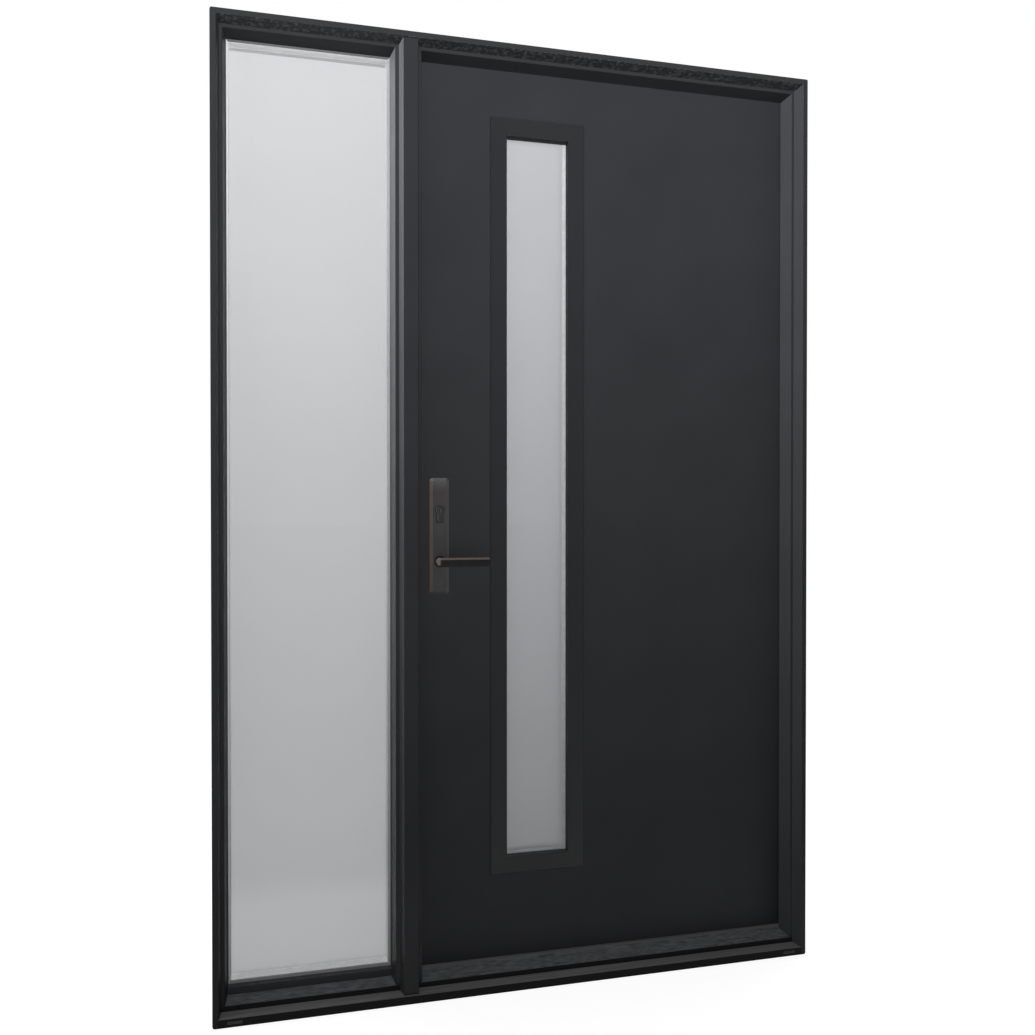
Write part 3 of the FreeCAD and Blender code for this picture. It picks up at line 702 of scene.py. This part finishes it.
def inner_plate_screws(shape):
    """Two screws in the inner handle plate."""
    add_screw_pair(shape, plate_low, plate_high, plate_x, plate_high.y, PLATE_SCREW_INSET, (0, 1, 0))


def lever_collars(shape):
    """Near-black turned rings round the necks of the levers: painted shade round each neck."""
    profile = in_metres(((9.8, -0.5), (12.8, -0.5), (12.8, 0.7), (12.2, 1.5), (10.3, 1.5), (9.8, 1.1),
                         (9.8, -0.5)))
    add_turned(shape, (plate_x, front_plate, lever_z), (0, -1, 0), profile, closed=False)
    add_turned(shape, (plate_x, plate_high.y, lever_z), (0, 1, 0), profile, closed=False)


def lobe_outline(grow):
    """Keyhole-shaped outline of the lock cylinder, set outwards.

    X and Z are from the middle of its round part.
    """
    radius, half, drop = CYLINDER_RADIUS + grow, LOBE_HALF + grow, LOBE_DROP + grow
    start = math.asin(half / radius)
    points = [(half, -drop), (-half, -drop)]
    for i in range(LOBE_STEPS + 1):
        angle = start + (math.tau - 2 * start) * i / LOBE_STEPS
        points.append((-radius * math.sin(angle), -radius * math.cos(angle)))
    points.reverse()
    return points


def cylinder_escutcheons(shape):
    """Low dark rings round the lock cylinder on both plates: painted shade round the cylinder."""
    section = in_metres(((0.35, -0.4), (0.35, 0.6), (0.8, 0.9), (2.4, 0.9), (2.9, 0.4), (2.9, -0.4)))
    for depth, way in ((front_plate, -1), (plate_high.y, 1)):
        loops = []
        for grow, rise in section:
            y = depth + way * rise
            outline = [(plate_x + x, y, cylinder_z + z) for x, z in lobe_outline(grow)]
            loops.append([shape.verts.new(point) for point in outline])
        join_loops(shape, loops, around=True)


def lock_plate_screws(shape):
    """Two screws in the plate on the edge of the door."""
    add_screw_pair(shape, lock_low, lock_high, lock_low.x, lock_y, LOCK_SCREW_INSET, (-1, 0, 0))


def lock_bolts(shape):
    """Ends of the latch and of the deadbolt."""
    add_bolt_face(shape, (lock_low.x, lock_y, lever_z), (-1, 0, 0), LATCH_SIZE, LATCH_RISE)
    add_bolt_face(shape, (lock_low.x, lock_y, cylinder_z), (-1, 0, 0), DEADBOLT_SIZE, DEADBOLT_RISE)


def strike_screws(shape):
    """Two screws in the strike plate."""
    add_screw_pair(shape, strike_low, strike_high, strike_high.x, lock_y, LOCK_SCREW_INSET, (1, 0, 0))


def strike_boxes(shape):
    """Dark pockets for the bolts, each with a raised rim."""
    section = in_metres(((0.0, 0.0), (0.3, 0.8), (1.6, 0.8), (2.0, 0.15)))
    for z, height in ((lever_z, LATCH_POCKET_HEIGHT), (cylinder_z, DEADBOLT_POCKET_HEIGHT)):
        loops = []
        for inset, rise in section:
            middle = Vector((strike_high.x, lock_y, z)) + Vector((rise, 0.0, 0.0))
            loops.append(add_rectangle(shape, middle, POCKET_HALF_WIDTH - inset, height / 2 - inset))
        join_loops(shape, loops)
        shape.faces.new(loops[-1])


# Screws and caps of the hinges

HINGE_HALF = 50 * MM
LEAF_HALF_GAP = 2.5 * MM
LEAF_SCREW_HEIGHT = 0.9 * MM

# Screws of a leaf: depth from the pin and height from the hinge's middle, in millimetres
LEAF_SCREWS = ((-28.5, -30.0), (-16.5, 0.0), (-28.5, 30.0))

pins_low, pins_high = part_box("hinge_pins")
pin_x, pin_y = (pins_low.x + pins_high.x) / 2, (pins_low.y + pins_high.y) / 2


def hinge_middles():
    """Heights of the middles of the hinges, from the pins."""
    levels = sorted({round(vertex.co.z, 5) for vertex in nodes["hinge_pins"].data.vertices})
    return [(low + high) / 2 for low, high in zip(levels[::2], levels[1::2])]


def add_leaf_screws(shape, x, outward):
    """Three screws in each leaf on one side of the hinges."""
    for middle in hinge_middles():
        for y, rise in LEAF_SCREWS:
            place = (x, pin_y + y * MM, middle + rise * MM)
            add_screw(shape, place, (outward, 0, 0), SCREW, LEAF_SCREW_HEIGHT)


def hinge_door_screws(shape):
    """Screws in the leaves on the door."""
    add_leaf_screws(shape, pin_x - LEAF_HALF_GAP, 1)


def hinge_jamb_screws(shape):
    """Screws in the leaves on the jamb."""
    add_leaf_screws(shape, pin_x + LEAF_HALF_GAP, -1)


def hinge_pin_caps(shape):
    """Turned caps on both ends of the hinge pins."""
    profile = in_metres(((2.8, -0.6), (2.8, 0.3), (5.2, 0.3), (5.2, 1.4), (4.6, 2.5), (3.0, 3.2), (1.2, 3.5)))
    for middle in hinge_middles():
        for way in (-1, 1):
            add_turned(shape, (pin_x, pin_y, middle + way * HINGE_HALF), (0, 0, way), profile)


# Trim of the lite and the sidelight. Widths are for the left, right, bottom and top edge

LITE_PLUG_INSET = 18.5 * MM
LITE_PLUG_END = 60 * MM
LITE_PLUG_STEPS = 5
LITE_INNER_WIDTHS = (2.5 * MM,) * 4
# Widths of the lite's outer seal; the wide top is painted shadow.
LITE_OUTER_SEAL_AND_SHADOW_WIDTHS = (0.4 * MM, 0.4 * MM, 0.4 * MM, 4.4 * MM)
# Widths of the grey strip round the lite, painted light.
LITE_LIGHT_STRIP_WIDTHS = (3.0 * MM, 9.0 * MM, 7.0 * MM, 3.0 * MM)
SIDELIGHT_WIDTHS = (3.5 * MM,) * 4
# Widths of the grey strip at the top of the sidelight, a painted line of shade.
SHADE_STRIP_WIDTHS = (0.3 * MM, 0.3 * MM, 0.2 * MM, 7.0 * MM)
# Widths of the pale strip at the foot of the sidelight, painted light.
FOOT_WIDTHS = (0.2 * MM, 0.2 * MM, 4.5 * MM, 0.2 * MM)

# Thin strip with softened edges: share of its width, and height in millimetres
STRIP_SECTION = ((0.0, 0.0), (1.0, 0.0), (0.96, 0.3), (0.04, 0.3))

lite_low, lite_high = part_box("lite_inner_frame")
glass_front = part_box("sidelight_inner_pane")[0].y
glass_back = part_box("sidelight_inner_pane")[1].y


def lite_plugs(shape):
    """Round plugs over the screws of the inner lite frame."""
    profile = in_metres(((5.5, -1.6), (5.5, 0.1), (5.0, 0.5), (3.6, 0.75), (3.2, 0.6)))
    places = []
    run = lite_high.z - lite_low.z - 2 * LITE_PLUG_END
    for i in range(LITE_PLUG_STEPS + 1):
        z = lite_low.z + LITE_PLUG_END + run * i / LITE_PLUG_STEPS
        places += [(lite_low.x + LITE_PLUG_INSET, z), (lite_high.x - LITE_PLUG_INSET, z)]
    middle = (lite_low.x + lite_high.x) / 2
    places += [(middle, lite_low.z + LITE_PLUG_INSET), (middle, lite_high.z - LITE_PLUG_INSET)]
    for x, z in places:
        add_turned(shape, (x, lite_high.y, z), (0, 1, 0), profile)


def lite_inner_gasket(shape):
    """Seal between the inner lite frame and the glass."""
    section = ((0.0, 0.0), (1.0, 0.0), (1.0, 1.2), (0.3, 2.5), (0.0, 2.5))
    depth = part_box("lite_inner_pane")[1].y
    add_ring(shape, inner_edges("lite_inner_frame"), LITE_INNER_WIDTHS, from_depth(section, depth))


def lite_outer_gasket(shape):
    """Black seal between the outer lite frame and the glass; its wide top is a painted shadow under the
    frame's top edge.
    """
    section = ((0.0, 0.0), (1.0, 0.0), (1.0, -0.6), (0.3, -1.6), (0.0, -1.6))
    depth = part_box("lite_outer_pane")[0].y
    add_ring(shape, inner_edges("lite_outer_frame"), LITE_OUTER_SEAL_AND_SHADOW_WIDTHS, from_depth(section, depth))


def lite_edge_light_strip(shape):
    """Thin grey strip behind the edge of the outer pane, widest at the right and bottom: painted light where
    the frame behind shades the glass.
    """
    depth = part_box("lite_outer_pane")[1].y
    add_ring(shape, inner_edges("lite_outer_frame"), LITE_LIGHT_STRIP_WIDTHS, from_depth(STRIP_SECTION, depth))


def add_strip(shape, widths):
    """Thin strip on the front of the sidelight's inner pane, inside the spacer."""
    section = [(share, -rise) for share, rise in STRIP_SECTION]
    add_ring(shape, inner_edges("sidelight_spacer"), widths, from_depth(section, glass_front))


def sidelight_top_shade_strip(shape):
    """Grey strip that is widest along the top of the pane: a painted line of shade under the top edge."""
    add_strip(shape, SHADE_STRIP_WIDTHS)


def sidelight_foot_light_strip(shape):
    """Pale strip that is widest along the bottom of the pane: painted light where the beads behind shade the
    glass.
    """
    add_strip(shape, FOOT_WIDTHS)


def sidelight_inner_gasket(shape):
    """Seal between the sidelight's beads and its glass, on the inside."""
    beads = ("sidelight_bead_left", "sidelight_bead_right", "sidelight_bead_bottom", "sidelight_bead_top")
    left, right, bottom, top = (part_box(bead) for bead in beads)
    opening = (left[1].x, right[0].x, bottom[1].z, top[0].z)
    section = ((0.0, 0.0), (1.0, 0.0), (1.0, 1.4), (0.3, 3.0), (0.0, 3.0))
    add_ring(shape, opening, SIDELIGHT_WIDTHS, from_depth(section, glass_back))


# Covers of the sill

def weep_louvres(shape):
    """Covers of the two drain holes in the sill."""
    low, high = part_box("sill_weep_covers")
    points = [vertex.co.x for vertex in nodes["sill_weep_covers"].data.vertices]
    left_end = max(x for x in points if x < 0)
    right_end = min(x for x in points if x > 0)
    add_louvre(shape, low, Vector((left_end, high.y, high.z)))
    add_louvre(shape, Vector((right_end, low.y, low.z)), high)


dark_steel = brushed_metal("screw_steel_dark", (0.09, 0.085, 0.08), 0.4, 0.8)
pocket_black = rubber("pocket_black_plastic", (0.006, 0.006, 0.006), 0.6)
# Dark rings round the cylinder: painted shade, lighter on the left for a painted highlight.
ring_painted_shade = bronze_rubbed_and_highlit("ring_bronze_painted_shade", (0.032, 0.032, 0.033), RING_HIGHLIGHT_SIDES)
# Near-black collars: painted shade round the lever necks.
collar_painted_shade = rubber("collar_black_painted_shade", (0.007, 0.007, 0.0072), 0.45)
# Grey strip at the top of the sidelight: painted shade.
shade_strip_grey = etched_glass("top_shade_strip_frosted", (0.42, 0.42, 0.425), 0.72)
# Pale strip at the foot of the sidelight: painted light.
light_strip_pale = rubber("foot_strip_painted_light", (0.9, 0.9, 0.9), 0.7)
# Grey strip round the lite's glass: painted light.
lite_light_strip_grey = rubber("lite_strip_painted_light", (0.43, 0.433, 0.443), 0.7)

add_piece("inner_plate_screws", inner_plate_screws, dark_steel, "door")
add_piece("lever_collars", lever_collars, collar_painted_shade, "door")
add_piece("cylinder_escutcheons", cylinder_escutcheons, ring_painted_shade, "door")
add_piece("lock_plate_screws", lock_plate_screws, dark_steel, "door")
add_piece("lock_bolts", lock_bolts, finishes["lock_steel"], "door")
add_piece("strike_screws", strike_screws, dark_steel, "frame")
add_piece("strike_boxes", strike_boxes, pocket_black, "frame")
add_piece("hinge_door_screws", hinge_door_screws, dark_steel, "door")
add_piece("hinge_jamb_screws", hinge_jamb_screws, dark_steel, "frame")
add_piece("hinge_pin_caps", hinge_pin_caps, finishes["lock_steel"], "frame")
add_piece("lite_plugs", lite_plugs, finishes["lite_frame_paint"], "door")
add_piece("lite_inner_gasket", lite_inner_gasket, finishes["seal_rubber"], "door")
add_piece("sidelight_inner_gasket", sidelight_inner_gasket, finishes["seal_rubber"], "frame")
add_piece("sidelight_top_shade_strip", sidelight_top_shade_strip, shade_strip_grey, "frame")
add_piece("sidelight_foot_light_strip", sidelight_foot_light_strip, light_strip_pale, "frame")
add_piece("lite_outer_gasket", lite_outer_gasket, finishes["seal_rubber"], "door")
add_piece("lite_edge_light_strip", lite_edge_light_strip, lite_light_strip_grey, "door")
louvres = add_piece("weep_louvres", weep_louvres, finishes["weep_grey"], "frame")
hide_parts("sill_weep_covers")


# Studio

def make_world():
    """White behind the unit, a soft pale grey in front that brightens upwards and to the left."""
    world = bpy.data.worlds.new("studio")
    bpy.context.scene.world = world
    world.use_nodes = True
    tree = world.node_tree
    background = tree.nodes["Background"]
    coords = tree.nodes.new("ShaderNodeTexCoord")
    split = tree.nodes.new("ShaderNodeSeparateXYZ")
    tree.links.new(coords.outputs["Generated"], split.inputs["Vector"])
    upper = spread(tree, split.outputs["Z"], FRONT_LOW, FRONT_HIGH, *FRONT_FADE)
    left = spread(tree, split.outputs["X"], LEFT_GLOW, 0.0, *LEFT_FADE)
    behind = spread(tree, split.outputs["Y"], 0.0, 1.0, *BACK_FADE)
    path = tree.nodes.new("ShaderNodeLightPath")
    for name in ("Is Camera Ray", "Is Transmission Ray"):
        behind = combine(tree, "MAXIMUM", behind, path.outputs[name])
    level = tree.nodes.new("ShaderNodeMix")
    tree.links.new(behind, level.inputs["Factor"])
    tree.links.new(combine(tree, "ADD", upper, left), level.inputs["A"])
    level.inputs["B"].default_value = BACK_WHITE
    tree.links.new(level.outputs["Result"], background.inputs["Strength"])
    background.inputs["Color"].default_value = WHITE


def floor_finish():
    """Pale floor that is lifted to white where it is seen, and lights the unit from the front."""
    material, tree, shader = new_material("floor_pale", (FLOOR_ALBEDO,) * 3, FLOOR_ROUGHNESS)
    shader.inputs["Specular IOR Level"].default_value = 0.0
    depth = place_axis(tree, "Y")
    near = spread(tree, depth, 0.0, 1.0, *FLOOR_FRONT_FADE)
    tone = blend_colours(tree, near, (FLOOR_FRONT_ALBEDO,) * 3, (FLOOR_ALBEDO,) * 3)
    tree.links.new(tone, shader.inputs["Base Color"])

    path = tree.nodes.new("ShaderNodeLightPath")
    mirrored = path.outputs["Is Glossy Ray"]
    through = spread(tree, path.outputs["Is Transmission Ray"], 0.0, FLOOR_THROUGH, 0.0, 1.0)
    direct = combine(tree, "MAXIMUM", path.outputs["Is Camera Ray"], through)
    behind = spread(tree, depth, 0.0, 1.0, *FLOOR_LIFT_FADE)
    lifted = combine(tree, "MAXIMUM", direct, combine(tree, "MULTIPLY", mirrored, behind))
    unseen = spread(tree, combine(tree, "MAXIMUM", direct, mirrored), 1.0, 0.0, 0.0, 1.0)
    bounce = spread(tree, depth, FLOOR_BOUNCE, 0.0, *FLOOR_BOUNCE_FADE)
    glow = combine(tree, "ADD", combine(tree, "MULTIPLY", unseen, bounce),
                   spread(tree, lifted, 0.0, FLOOR_LIFT, 0.0, 1.0))
    shader.inputs["Emission Color"].default_value = WHITE
    tree.links.new(glow, shader.inputs["Emission Strength"])

    away = tree.nodes.new("ShaderNodeVectorMath")
    away.operation = "LENGTH"
    tree.links.new(place_vector(tree), away.inputs[0])
    far = spread(tree, away.outputs["Value"], 0.0, 1.0, *FLOOR_WHITE_FADE)
    white = tree.nodes.new("ShaderNodeEmission")
    join = tree.nodes.new("ShaderNodeMixShader")
    tree.links.new(combine(tree, "MULTIPLY", lifted, far), join.inputs[0])
    tree.links.new(shader.outputs["BSDF"], join.inputs[1])
    tree.links.new(white.outputs["Emission"], join.inputs[2])
    tree.links.new(join.outputs["Shader"], tree.nodes["Material Output"].inputs["Surface"])
    return material


def make_floor():
    """Wide pale floor that keeps the shadow and runs into the white behind."""
    mesh = bpy.data.meshes.new("floor")
    level = cad_box[0].z
    points = [(x * FLOOR_REACH, y * FLOOR_REACH, level) for x, y in CORNERS]
    mesh.from_pydata(points, [], [(0, 1, 2, 3)])
    floor = bpy.data.objects.new("floor", mesh)
    bpy.context.scene.collection.objects.link(floor)
    mesh.materials.append(floor_finish())


def make_lamp(name, facts, lit=(), beam=FULL_SPREAD):
    """Soft lamp out of the picture, without shadows. Where nodes are named, it lights only those."""
    lamp = bpy.data.lights.new(name, "AREA")
    lamp.shape = "RECTANGLE"
    lamp.size = facts["size"][0]
    lamp.size_y = facts["size"][1]
    lamp.energy = facts["power"]
    lamp.spread = math.radians(beam)
    lamp.use_shadow = False
    lamp.cycles.use_multiple_importance_sampling = False
    holder = bpy.data.objects.new(name, lamp)
    holder.location = facts["place"]
    aim = Vector(facts["aim"]) - Vector(facts["place"])
    holder.rotation_euler = aim.to_track_quat("-Z", "Y").to_euler()
    holder.visible_camera = False
    holder.visible_glossy = False
    holder.visible_transmission = False
    bpy.context.scene.collection.objects.link(holder)
    if lit:
        group = bpy.data.collections.new(name + "_lights")
        for node in lit:
            group.objects.link(nodes[node])
        holder.light_linking.receiver_collection = group


def make_camera():
    """Camera of the picture."""
    camera = bpy.data.cameras.new("camera")
    camera.sensor_width = SENSOR_WIDTH
    camera.lens = SENSOR_WIDTH * FOCAL_PIXELS / IMAGE_SIDE
    holder = bpy.data.objects.new("camera", camera)
    holder.location = CAMERA_PLACE
    holder.rotation_euler = (math.pi / 2 + CAMERA_TILT, 0.0, CAMERA_TURN)
    bpy.context.scene.collection.objects.link(holder)
    bpy.context.scene.camera = holder


make_world()
make_floor()
make_lamp("front_lamp", FRONT_LAMP)
make_lamp("side_lamp", SIDE_LAMP, SIDE_LIT, SIDE_SPREAD)
make_camera()
bpy.context.scene.view_settings.view_transform = "Standard"
